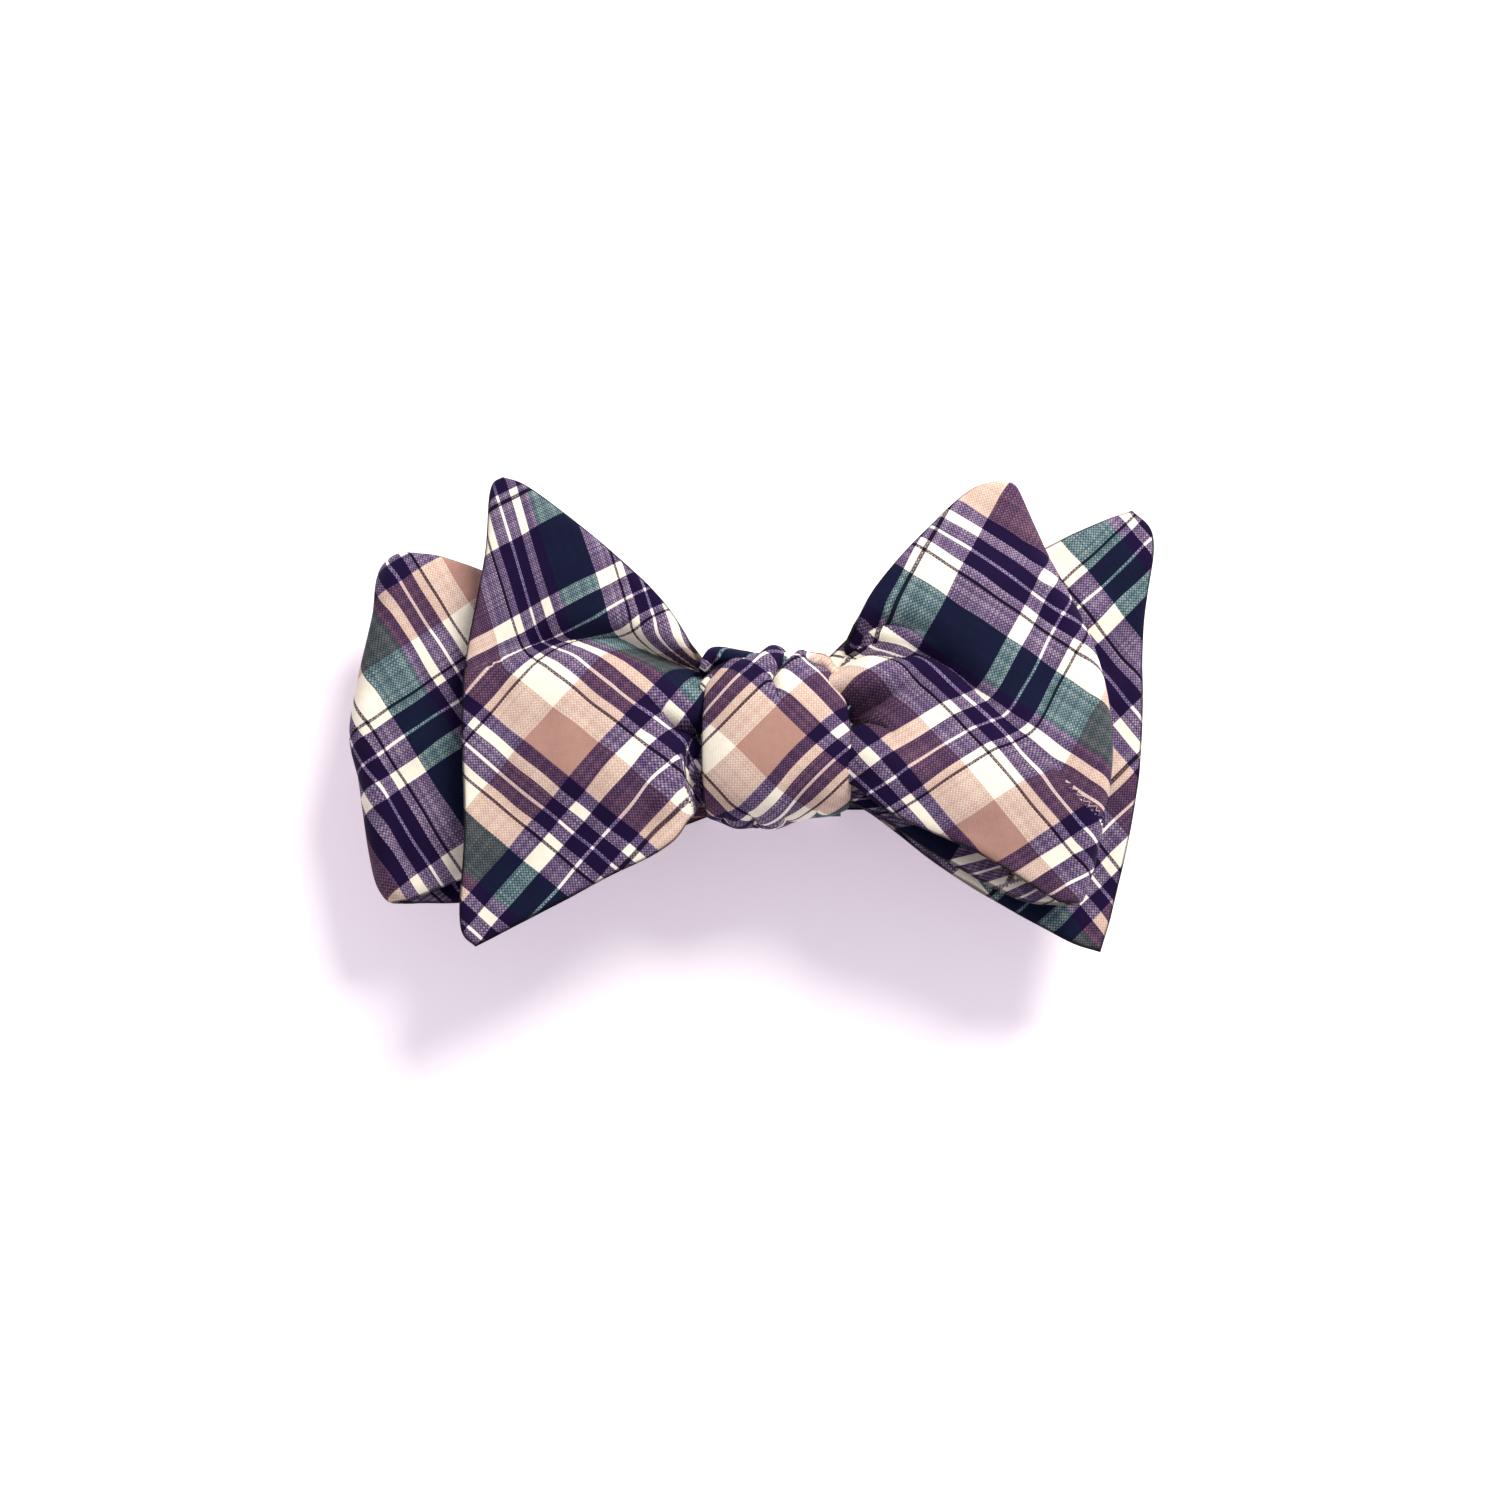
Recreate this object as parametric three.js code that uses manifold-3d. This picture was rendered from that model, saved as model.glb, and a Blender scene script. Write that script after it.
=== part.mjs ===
// Self-tie butterfly bow tie, tied and lying face up, with its neckband folded behind the bow.
// Millimetres. +Z is the face of the bow, +X the wearer's left as seen from in front, +Y up the bow.
// The origin is the middle of the underside of the whole tie.
import * as THREE from 'three';
import Module from 'manifold-3d';
import { mergeVertices } from 'three/addons/utils/BufferGeometryUtils.js';

const wasm = await Module();
wasm.setup();

// Driving dimensions
const GAP = 0.3; // air left between touching pieces
const CLOTH = 0.5; // face cloth and lining of the wings
const INTERLINING = 0.8; // wool-like stiffener between them
const LAYER_STEP = CLOTH / 2 + GAP + INTERLINING / 2; // from a panel's middle to its cloths' middles
const KNOT_WIDTH = 21.5;
const KNOT_HALF_HEIGHT = 14;
const KNOT_BOTTOM = 8.8;
const KNOT_TOP = 32.2;
const KNOT_CLOTH = 0.6;
const WING_ROOT = 12; // distance from the knot's middle to where each wing starts to flex
const BAND_WIDTH = 19;
const BAND_THICKNESS = 0.8;
const BAND_END = 45; // how far out the folded neckband reaches
const BAND_TOP = 8.0; // middle height of the neckband's topmost run
const BAND_RISE = 2.5; // how far up the bow the neckband's middle lies from the knot's middle
const BAR = 1.0; // metal bar that a strap end turns round
const STRAP_TURN = BAR / 2 + GAP + BAND_THICKNESS / 2; // radius of a strap's turn round a bar

// Colours
const CREAM = 0xe9dcc0;
const TAN = 0xbd9a82;
const NAVY = 0x1f1738;
const GREEN = 0x1f3d33;
const WHITE = 0xe8e4da;
const STEEL = 0xb9bbbe;

const group = new THREE.Group();
const band = new THREE.Group(); // the neckband and its metal
band.position.y = BAND_RISE;
group.add(band);

function material(color, metal) {
  return new THREE.MeshStandardMaterial({
    color,
    roughness: metal ? 0.3 : 0.85,
    metalness: metal ? 1 : 0,
  });
}

function add(name, geometry, color, parent = group) {
  const mesh = new THREE.Mesh(geometry, material(color, color === STEEL));
  mesh.name = name;
  parent.add(mesh);
}

// A smooth value at t (0 to 1) through evenly spaced values.
function along(values, t) {
  const points = values.map((value, i) => new THREE.Vector2(i, value));
  return new THREE.SplineCurve(points).getPoint(t).y;
}

// A closed thick sheet: surface(u, v) moved along its normal by the offset, with the given thickness.
function thickSheet(surface, offset, thickness, uSteps, vSteps) {
  const positions = [];
  const index = [];
  const du = new THREE.Vector3();
  const dv = new THREE.Vector3();
  const e = 1e-3;
  const place = (u, v, distance) => {
    const u0 = Math.max(0, u - e);
    const u1 = Math.min(1, u + e);
    const v0 = Math.max(0, v - e);
    const v1 = Math.min(1, v + e);
    du.subVectors(surface(u1, v), surface(u0, v));
    dv.subVectors(surface(u, v1), surface(u, v0));
    const normal = du.cross(dv).normalize();
    const point = surface(u, v).addScaledVector(normal, distance);
    positions.push(point.x, point.y, point.z);
  };
  for (const side of [1, -1]) {
    for (let i = 0; i <= uSteps; i += 1) {
      for (let j = 0; j <= vSteps; j += 1) {
        place(i / uSteps, j / vSteps, offset + (side * thickness) / 2);
      }
    }
  }
  const layer = (uSteps + 1) * (vSteps + 1);
  const at = (side, i, j) => side * layer + i * (vSteps + 1) + j;
  const quad = (a, b, c, d) => index.push(a, b, c, a, c, d);
  for (let i = 0; i < uSteps; i += 1) {
    for (let j = 0; j < vSteps; j += 1) {
      quad(at(0, i, j), at(0, i + 1, j), at(0, i + 1, j + 1), at(0, i, j + 1));
      quad(at(1, i, j), at(1, i, j + 1), at(1, i + 1, j + 1), at(1, i + 1, j));
    }
  }
  for (let i = 0; i < uSteps; i += 1) {
    quad(at(0, i, 0), at(1, i, 0), at(1, i + 1, 0), at(0, i + 1, 0));
    quad(at(0, i, vSteps), at(0, i + 1, vSteps), at(1, i + 1, vSteps), at(1, i, vSteps));
  }
  for (let j = 0; j < vSteps; j += 1) {
    quad(at(0, 0, j), at(0, 0, j + 1), at(1, 0, j + 1), at(1, 0, j));
    quad(at(0, uSteps, j), at(1, uSteps, j), at(1, uSteps, j + 1), at(0, uSteps, j + 1));
  }
  const geometry = new THREE.BufferGeometry();
  geometry.setAttribute('position', new THREE.Float32BufferAttribute(positions, 3));
  geometry.setIndex(index);
  return geometry;
}

// A wing whose cloth ends in a straight cut: side is -1 for the left, 1 for the right.
// lower, upper and height run from the knot to the tip edge, edge from the lower tip to the upper one.
function flatWing({ side, lower, upper, edge, height }) {
  return (u, v) => {
    const x = THREE.MathUtils.lerp(WING_ROOT, along(edge, v), u);
    const y = THREE.MathUtils.lerp(along(lower, u), along(upper, u), v);
    return new THREE.Vector3(side * x, y, along(height, u));
  };
}

// A wing whose cloth folds back to the knot: the front panel, the fold and the rear panel are one sheet.
function loopWing({ side, lower, upper, edge, front, rear }) {
  const radius = (front - rear) / 2;
  const panel = 0.42; // share of the sheet in each flat panel
  return (u, v) => {
    const turn = THREE.MathUtils.clamp((u - panel) / (1 - 2 * panel), 0, 1) * Math.PI;
    const out = Math.min(u, 1 - u, panel) / panel;
    const reach = along(edge, v) - radius;
    const x = THREE.MathUtils.lerp(WING_ROOT, reach, out) + radius * Math.sin(turn);
    const y = THREE.MathUtils.lerp(along(lower, out), along(upper, out), v);
    return new THREE.Vector3(side * x, y, rear + radius * (1 + Math.cos(turn)));
  };
}

// The three layers of one wing: face cloth, interlining and the cloth behind.
function wingLayers(prefix, last, surface, side, uSteps, faceColor) {
  const vSteps = 7;
  const flip = (u, v) => surface(u, side > 0 ? v : 1 - v); // keeps the faces pointing out
  add(`${prefix}_face`, thickSheet(flip, LAYER_STEP, CLOTH, uSteps, vSteps), faceColor);
  add(`${prefix}_interlining`, thickSheet(flip, 0, INTERLINING, uSteps, vSteps), WHITE);
  add(`${prefix}_${last}`, thickSheet(flip, -LAYER_STEP, CLOTH, uSteps, vSteps), NAVY);
}

function wings() {
  const leftFront = flatWing({
    side: -1,
    lower: [-10, -15, -20, -25, -30],
    upper: [13, 24, 31, 37, 41],
    edge: [45.6, 47.8, 48, 46.5, 41.5],
    height: [26.5, 28, 28, 27, 26],
  });
  wingLayers('left_front', 'backing', leftFront, -1, 12, CREAM);

  const rightFront = loopWing({
    side: 1,
    lower: [-8, -11.5, -15, -19, -25],
    upper: [14, 24, 31.5, 37, 39.5],
    edge: [45.5, 48.5, 50, 45, 36],
    front: 30.2,
    rear: 23.0,
  });
  wingLayers('right_front_loop', 'lining', rightFront, 1, 24, CREAM);

  const leftBack = loopWing({
    side: -1,
    lower: [-8, -12, -15.5, -19, -22],
    upper: [11, 19, 25, 29, 31],
    edge: [58, 61.5, 63.6, 62, 57],
    front: 20.2,
    rear: 13.2,
  });
  wingLayers('left_back_loop', 'lining', leftBack, -1, 24, GREEN);

  const rightBack = flatWing({
    side: 1,
    lower: [-7, -14, -20, -25, -29],
    upper: [12, 22, 29, 35, 38.5],
    edge: [49.8, 53.5, 55.3, 56.3, 57.2],
    height: [18.6, 19, 18.8, 18, 17],
  });
  wingLayers('right_back', 'backing', rightBack, 1, 12, GREEN);
}

// Turns a geometry extruded along +Z from the XY plane so that its drawing lies in the YZ plane
// and its length runs along X, centred.
function alongX(shape, length) {
  const geometry = new THREE.ExtrudeGeometry(shape, { depth: length, bevelEnabled: false, curveSegments: 6 });
  geometry.translate(0, 0, -length / 2);
  geometry.applyMatrix4(new THREE.Matrix4().makeBasis(
    new THREE.Vector3(0, 1, 0), new THREE.Vector3(0, 0, 1), new THREE.Vector3(1, 0, 0)));
  return geometry;
}

// The same for a drawing that lies in the XZ plane, with its length along Y, centred.
function alongY(shape, length) {
  const geometry = new THREE.ExtrudeGeometry(shape, { depth: length, bevelEnabled: false });
  geometry.translate(0, 0, -length / 2);
  geometry.rotateX(Math.PI / 2);
  return geometry;
}

// A rounded rectangle drawn round a centre.
function roundedRectangle(target, halfWidth, low, high, radius) {
  target.moveTo(-halfWidth + radius, low);
  target.lineTo(halfWidth - radius, low);
  target.absarc(halfWidth - radius, low + radius, radius, -Math.PI / 2, 0);
  target.lineTo(halfWidth, high - radius);
  target.absarc(halfWidth - radius, high - radius, radius, 0, Math.PI / 2);
  target.lineTo(-halfWidth + radius, high);
  target.absarc(-halfWidth + radius, high - radius, radius, Math.PI / 2, Math.PI);
  target.lineTo(-halfWidth, low + radius);
  target.absarc(-halfWidth + radius, low + radius, radius, Math.PI, 1.5 * Math.PI);
  return target;
}

// A sleeve round the X axis: the knot's cloth, or the interlining inside it, inset by a distance.
function sleeve(inset, thickness) {
  const corner = 7;
  const outer = roundedRectangle(new THREE.Shape(), KNOT_HALF_HEIGHT - inset,
    KNOT_BOTTOM + inset, KNOT_TOP - inset, corner - inset);
  const inner = inset + thickness;
  outer.holes.push(roundedRectangle(new THREE.Path(), KNOT_HALF_HEIGHT - inner,
    KNOT_BOTTOM + inner, KNOT_TOP - inner, corner - inner));
  return alongX(outer, KNOT_WIDTH);
}

// A ribbon of even thickness that follows a line of points, as a flat drawing.
function ribbon(points, thickness) {
  const sides = [[], []];
  points.forEach((point, i) => {
    const before = points[Math.max(0, i - 1)];
    const after = points[Math.min(points.length - 1, i + 1)];
    const a = new THREE.Vector2().subVectors(i > 0 ? point : after, i > 0 ? before : point).normalize();
    const b = new THREE.Vector2().subVectors(i < points.length - 1 ? after : point,
      i < points.length - 1 ? point : before).normalize();
    const mitre = new THREE.Vector2(-a.y - b.y, a.x + b.x).normalize();
    const stretch = thickness / 2 / mitre.dot(new THREE.Vector2(-a.y, a.x));
    sides[0].push(point.clone().addScaledVector(mitre, stretch));
    sides[1].unshift(point.clone().addScaledVector(mitre, -stretch));
  });
  return new THREE.Shape([...sides[0], ...sides[1]]);
}

// Adds a half turn to a line of points, from its last height to a new one.
function turn(points, x, fromZ, toZ, outward) {
  const steps = 8;
  const middle = (fromZ + toZ) / 2;
  const radius = (toZ - fromZ) / 2;
  for (let i = 0; i <= steps; i += 1) {
    const angle = (Math.PI * i) / steps;
    points.push(new THREE.Vector2(x + outward * Math.abs(radius) * Math.sin(angle),
      middle - radius * Math.cos(angle)));
  }
}

function knot() {
  add('knot_wrap', sleeve(0, KNOT_CLOTH), TAN);
  add('knot_wrap_interlining', sleeve(KNOT_CLOTH + GAP, INTERLINING), WHITE);
}

// The middle of one strip, gathered into pleats where the knot squeezes it.
function waist(low, high) {
  const thickness = 1.5;
  const halfWidth = 9.4;
  const pleats = 7;
  const points = [];
  for (let i = 0; i <= pleats; i += 1) {
    const y = THREE.MathUtils.lerp(-halfWidth, halfWidth, i / pleats);
    points.push(new THREE.Vector2(y, i % 2 ? high - thickness : low + thickness));
  }
  return alongX(ribbon(points, thickness), KNOT_WIDTH + 1);
}

function waists() {
  add('back_waist_pleats', waist(11.4, 20.0), GREEN);
  add('front_waist_pleats', waist(21.0, 29.6), CREAM);
}

// Half of the neckband, folded to and fro under the bow: from the knot out to the end of the folds,
// back, and so on down to its metal end, where it turns round a bar.
// levels are the heights of its runs, from the top one down; tail is how far out its return reaches.
function neckband(side, levels, tail) {
  const innerFold = 16;
  const barAt = 10;
  const points = [new THREE.Vector2(0.5, levels[0])];
  for (let i = 1; i < levels.length; i += 1) {
    const outside = i % 2 === 1;
    turn(points, outside ? BAND_END - 1 : innerFold, levels[i - 1], levels[i], outside ? 1 : -1);
  }
  const last = levels[levels.length - 1];
  turn(points, barAt, last, last + 2 * STRAP_TURN, -1);
  points.push(new THREE.Vector2(tail, last + 2 * STRAP_TURN));
  return alongY(ribbon(points.map((p) => new THREE.Vector2(side * p.x, p.y)), BAND_THICKNESS), BAND_WIDTH);
}

function solid(geometry) {
  const bare = geometry.clone();
  bare.deleteAttribute('normal');
  bare.deleteAttribute('uv');
  const merged = mergeVertices(bare, 1e-5);
  return new wasm.Manifold(new wasm.Mesh({
    numProp: 3,
    vertProperties: new Float32Array(merged.attributes.position.array),
    triVerts: new Uint32Array(merged.index.array),
  }));
}

function fromSolid(manifold) {
  const mesh = manifold.getMesh();
  const geometry = new THREE.BufferGeometry();
  geometry.setAttribute('position', new THREE.Float32BufferAttribute(mesh.vertProperties, 3));
  geometry.setIndex(Array.from(mesh.triVerts));
  return geometry;
}

// A flat rectangular wire or sheet frame in the XY plane with one window.
function frame(x0, x1, windowX0, windowX1, low, high) {
  const half = BAND_WIDTH / 2 + GAP;
  const rail = 1.0;
  const outline = new THREE.Shape([
    new THREE.Vector2(x0, -half - rail), new THREE.Vector2(x1, -half - rail),
    new THREE.Vector2(x1, half + rail), new THREE.Vector2(x0, half + rail)]);
  outline.holes.push(new THREE.Path([
    new THREE.Vector2(windowX0, -half), new THREE.Vector2(windowX0, half),
    new THREE.Vector2(windowX1, half), new THREE.Vector2(windowX1, -half)]));
  const geometry = new THREE.ExtrudeGeometry(outline, { depth: high - low, bevelEnabled: false });
  geometry.translate(0, 0, low);
  return geometry;
}

// The fastening between the neckband's two halves: an eye on the left strap and a hook on the right
// one, whose blade lies over the eye's end bar with its tip turned down through the window.
function clasp(leftBottom, rightBottom) {
  const eyeMiddle = leftBottom + STRAP_TURN;
  add('clasp_eye', frame(-10 - BAR / 2, -1.6, -10 + BAR / 2, -3, eyeMiddle - 0.5, eyeMiddle + 0.5), STEEL, band);

  const bladeLow = eyeMiddle + 0.5 + GAP;
  const bladeHigh = bladeLow + 0.6;
  const hookFrame = frame(5.6, 10 + BAR / 2, 7.6, 10 - BAR / 2, rightBottom + STRAP_TURN - 0.3,
    rightBottom + STRAP_TURN + 0.3);
  const blade = alongY(new THREE.Shape([
    new THREE.Vector2(6.4, bladeLow), new THREE.Vector2(6.4, bladeHigh),
    new THREE.Vector2(-5.4, bladeHigh), new THREE.Vector2(-5.4, 0.9),
    new THREE.Vector2(-4.6, 0.9), new THREE.Vector2(-4.6, bladeLow)]), 8);
  add('clasp_hook', fromSolid(solid(hookFrame).add(solid(blade))), STEEL, band);
}

// The three-bar slider that the doubled strap runs through; its window heights follow the strap's.
function slider(strapLow) {
  const half = BAND_WIDTH / 2 + GAP;
  const plate = 0.6;
  const lowRun = strapLow - BAND_THICKNESS / 2 - GAP;
  const highRun = lowRun + 2 * STRAP_TURN;
  const run = BAND_THICKNESS + 2 * GAP;
  const outline = roundedRectangle(new THREE.Shape(), half + 1, lowRun - plate, highRun + run + plate, 0.5);
  for (const low of [lowRun, highRun]) {
    outline.holes.push(roundedRectangle(new THREE.Path(), half, low, low + run, 0.2));
  }
  const geometry = alongX(outline, 7);
  geometry.translate(27.5, 0, 0);
  add('adjuster_slider', geometry, STEEL, band);
}

function neckbands() {
  const leftLevels = [0, 1, 2, 3, 4, 5].map((i) => BAND_TOP - (i * (BAND_TOP - BAND_THICKNESS / 2)) / 5);
  const rightBottom = 0.6 + GAP + BAND_THICKNESS / 2;
  const rightLevels = [BAND_TOP, 7.05, 6.1, rightBottom];
  add('neckband_left', neckband(-1, leftLevels, 13.2), GREEN, band);
  add('neckband_right', neckband(1, rightLevels, 40), GREEN, band);
  slider(rightBottom);
  clasp(leftLevels[5], rightBottom);

  const label = new THREE.BoxGeometry(5, 12, 0.3);
  label.translate(40, 0, rightBottom - BAND_THICKNESS / 2 - GAP - 0.15);
  add('blank_label', label, WHITE, band);
}

wings();
knot();
waists();
neckbands();

// Puts the origin in the middle of the underside.
const box = new THREE.Box3().setFromObject(group);
const middle = box.getCenter(new THREE.Vector3());
group.position.set(-middle.x, -middle.y, -box.min.z);

export default group;
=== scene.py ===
"""The looks of a tied butterfly bow tie in plaid cotton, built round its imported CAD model.

Shapes are drawn in millimetres from the middle of the knot (x right, y up the bow, z up from the
surface that the tie lies on) and turned into metres in the CAD frame when a mesh is made.
"""
import math

import bpy
import numpy as np
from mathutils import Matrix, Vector


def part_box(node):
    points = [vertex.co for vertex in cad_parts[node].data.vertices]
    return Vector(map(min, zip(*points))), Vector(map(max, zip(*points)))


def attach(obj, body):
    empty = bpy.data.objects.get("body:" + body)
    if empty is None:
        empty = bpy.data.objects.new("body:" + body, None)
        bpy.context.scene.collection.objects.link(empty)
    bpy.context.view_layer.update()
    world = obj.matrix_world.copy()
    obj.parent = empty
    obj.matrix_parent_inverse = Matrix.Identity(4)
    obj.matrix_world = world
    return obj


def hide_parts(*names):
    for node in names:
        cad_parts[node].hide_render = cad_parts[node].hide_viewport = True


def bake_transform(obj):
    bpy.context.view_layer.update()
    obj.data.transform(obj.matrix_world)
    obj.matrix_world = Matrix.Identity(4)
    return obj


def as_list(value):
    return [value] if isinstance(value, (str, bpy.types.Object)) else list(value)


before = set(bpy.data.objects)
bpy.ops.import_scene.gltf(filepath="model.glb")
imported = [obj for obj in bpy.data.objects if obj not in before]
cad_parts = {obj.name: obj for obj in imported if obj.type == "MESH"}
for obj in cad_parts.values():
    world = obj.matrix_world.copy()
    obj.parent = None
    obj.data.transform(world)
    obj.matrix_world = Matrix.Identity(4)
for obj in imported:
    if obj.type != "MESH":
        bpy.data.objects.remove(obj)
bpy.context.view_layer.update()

MM = 0.001


def node_box(name):
    low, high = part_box(name)
    return np.array(low) / MM, np.array(high) / MM


KNOT_LOW, KNOT_HIGH = node_box("knot_wrap")
KNOT_MIDDLE = (KNOT_LOW + KNOT_HIGH) / 2
ORIGIN = np.array([KNOT_MIDDLE[0], KNOT_MIDDLE[1], 0.0])
KNOT_HALF = (KNOT_HIGH - KNOT_LOW) / 2

CLOTH_HALF = 1.0  # half the thickness of a wing: two cloths and the interlining between them
EDGE_HALF = 0.22  # the same at a sewn edge
EDGE_ROLL = 1.6  # how far in from an edge the cloth starts to roll over


# ---------------------------------------------------------------- plaid

# The colours of the dyed threads.
CREAM = (0.90, 0.83, 0.69)
TAN = (0.41, 0.232, 0.187)
NAVY = (0.0095, 0.0038, 0.030)
GREEN = (0.0036, 0.0165, 0.028)
BLACK = (0.010, 0.006, 0.012)
THREAD = (0.86, 0.80, 0.80)

# The two setts of the plaid, p and q: each band's colour and its width in millimetres, in order.
P_HALF = [(CREAM, 3.7), (BLACK, 0.45), (CREAM, 1.3), (NAVY, 2.02), (THREAD, 0.45), (NAVY, 2.1),
          (CREAM, 1.6), (NAVY, 2.0)]
P_SETT = [(GREEN, 6.95)] + P_HALF + [(TAN, 6.6)] + P_HALF
Q_LINES = [(NAVY, 2.95), (THREAD, 0.45), (NAVY, 2.85), (CREAM, 1.15), (BLACK, 0.5)]
Q_SETT = ([(CREAM, 5.7), (TAN, 8.0), (NAVY, 2.7), (CREAM, 2.55)] + Q_LINES
          + [(CREAM, 5.7), (NAVY, 10.6), (CREAM, 2.5)] + Q_LINES)
P_PERIOD = sum(width for _, width in P_SETT)
Q_PERIOD = sum(width for _, width in Q_SETT)
THREAD_PITCH = 0.26
EYE_BLEND = 0.1  # dark threads rule where light and dark ones cross: colours are mixed at this power


class Nodes:
    """Adds nodes to a material and links them in one call each."""

    def __init__(self, material):
        self.tree = material.node_tree

    def add(self, kind, inputs=None, **settings):
        node = self.tree.nodes.new(kind)
        for key, value in settings.items():
            setattr(node, key, value)
        for key, value in (inputs or {}).items():
            if isinstance(value, bpy.types.NodeSocket):
                self.tree.links.new(value, node.inputs[key])
            else:
                node.inputs[key].default_value = value
        return node

    def math(self, operation, first, second=0.0):
        return self.add("ShaderNodeMath", {0: first, 1: second}, operation=operation).outputs[0]

    def mix(self, factor, first, second, blend="MIX"):
        node = self.add("ShaderNodeMix", data_type="RGBA", blend_type=blend)
        for index, value in ((0, factor), (6, first), (7, second)):
            if isinstance(value, bpy.types.NodeSocket):
                self.tree.links.new(value, node.inputs[index])
            else:
                node.inputs[index].default_value = value
        return node.outputs[2]


def new_material(name):
    material = bpy.data.materials.new(name)
    material.use_nodes = True
    shader = material.node_tree.nodes["Principled BSDF"]
    return material, Nodes(material), shader


def stripes(nodes, place, sett, period):
    """The sett's colour at a place in millimetres across it."""
    share = nodes.math("FRACT", nodes.math("DIVIDE", place, period))
    ramp = nodes.add("ShaderNodeValToRGB", {0: share})
    ramp.color_ramp.interpolation = "CONSTANT"
    start = 0.0
    for i, (color, width) in enumerate(sett):
        elements = ramp.color_ramp.elements
        element = elements[i] if i < 2 else elements.new(start / period)
        element.position = start / period
        element.color = (*(channel ** EYE_BLEND for channel in color), 1)
        start += width
    return ramp.outputs[0]


def plaid_material(name):
    """Plain weave of two sets of dyed threads: each crossing shows one thread over the other."""
    material, nodes, shader = new_material(name)
    uv = nodes.add("ShaderNodeUVMap", uv_map="UVMap").outputs[0]
    split = nodes.add("ShaderNodeSeparateXYZ", {0: uv})
    p = nodes.math("MULTIPLY", split.outputs[0], 1000.0)
    q = nodes.math("MULTIPLY", split.outputs[1], 1000.0)
    color_p = stripes(nodes, p, P_SETT, P_PERIOD)
    color_q = stripes(nodes, q, Q_SETT, Q_PERIOD)

    thread_p = nodes.math("DIVIDE", p, THREAD_PITCH)
    thread_q = nodes.math("DIVIDE", q, THREAD_PITCH)
    count = nodes.math("ADD", nodes.math("FLOOR", thread_p), nodes.math("FLOOR", thread_q))
    over = nodes.math("ROUND", nodes.math("FRACT", nodes.math("MULTIPLY", count, 0.5)))
    yarn_p = nodes.add("ShaderNodeTexWhiteNoise", {"W": nodes.math("FLOOR", thread_p)},
                       noise_dimensions="1D")
    yarn_q = nodes.add("ShaderNodeTexWhiteNoise", {"W": nodes.math("FLOOR", thread_q)},
                       noise_dimensions="1D")
    thicker = nodes.math("SUBTRACT", yarn_q.outputs[0], yarn_p.outputs[0])
    share = nodes.add("ShaderNodeMapRange", {0: over, 3: 0.35, 4: 0.65})
    uneven = nodes.math("MULTIPLY", thicker, 0.16)
    woven = nodes.mix(nodes.math("ADD", share.outputs[0], uneven), color_p, color_q)

    # Painted shade: the colour darkens towards each sewn edge, where the rolled edge turns away from the
    # light.
    edge = nodes.add("ShaderNodeUVMap", uv_map="Seam").outputs[0]
    from_edge = nodes.add("ShaderNodeSeparateXYZ", {0: edge}).outputs[0]
    edge_shade_ramp = nodes.add("ShaderNodeMapRange", {0: from_edge, 1: 0.12, 2: 0.42, 3: 0.84, 4: 1.0})
    shadow = edge_shade_ramp.outputs[0]
    seam_shade = nodes.add("ShaderNodeCombineColor", {0: shadow, 1: shadow, 2: shadow}).outputs[0]
    woven = nodes.mix(1.0, woven, seam_shade, "MULTIPLY")

    slubs = nodes.add("ShaderNodeTexNoise", {"Vector": uv, "Scale": 900.0, "Detail": 2.0})
    fade = nodes.add("ShaderNodeMapRange", {0: slubs.outputs[0], 3: 0.988, 4: 1.008})
    tint = nodes.add("ShaderNodeCombineColor", {0: fade.outputs[0], 1: fade.outputs[0], 2: fade.outputs[0]})
    blended = nodes.mix(1.0, woven, tint.outputs[0], "MULTIPLY")
    color = nodes.add("ShaderNodeGamma", {0: blended, 1: 1 / EYE_BLEND})
    nodes.tree.links.new(color.outputs[0], shader.inputs["Base Color"])

    round_p = nodes.math("ABSOLUTE", nodes.math("SINE", nodes.math("MULTIPLY", thread_p, math.pi)))
    round_q = nodes.math("ABSOLUTE", nodes.math("SINE", nodes.math("MULTIPLY", thread_q, math.pi)))
    relief = nodes.mix(over, round_p, round_q)
    bump = nodes.add("ShaderNodeBump", {"Strength": 0.35, "Distance": 0.00008, "Height": relief})
    nodes.tree.links.new(bump.outputs[0], shader.inputs["Normal"])
    rough = nodes.add("ShaderNodeMapRange", {0: relief, 3: 0.95, 4: 0.78})
    nodes.tree.links.new(rough.outputs[0], shader.inputs["Roughness"])
    shader.inputs["Specular IOR Level"].default_value = 0.06
    shader.inputs["Sheen Weight"].default_value = 0.02
    shader.inputs["Sheen Roughness"].default_value = 0.5
    return material


def metal_material():
    material, nodes, shader = new_material("nickel")
    place = nodes.add("ShaderNodeTexCoord").outputs["Object"]
    stretch = nodes.add("ShaderNodeMapping", {"Vector": place, "Scale": (900.0, 14000.0, 14000.0)})
    grain = nodes.add("ShaderNodeTexNoise", {"Vector": stretch.outputs[0], "Scale": 1.0, "Detail": 3.0})
    rough = nodes.add("ShaderNodeMapRange", {0: grain.outputs[0], 3: 0.2, 4: 0.38})
    tone = nodes.mix(grain.outputs[0], (0.62, 0.62, 0.63, 1), (0.78, 0.77, 0.75, 1))
    nodes.tree.links.new(rough.outputs[0], shader.inputs["Roughness"])
    nodes.tree.links.new(tone, shader.inputs["Base Color"])
    shader.inputs["Metallic"].default_value = 1.0
    return material


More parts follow.
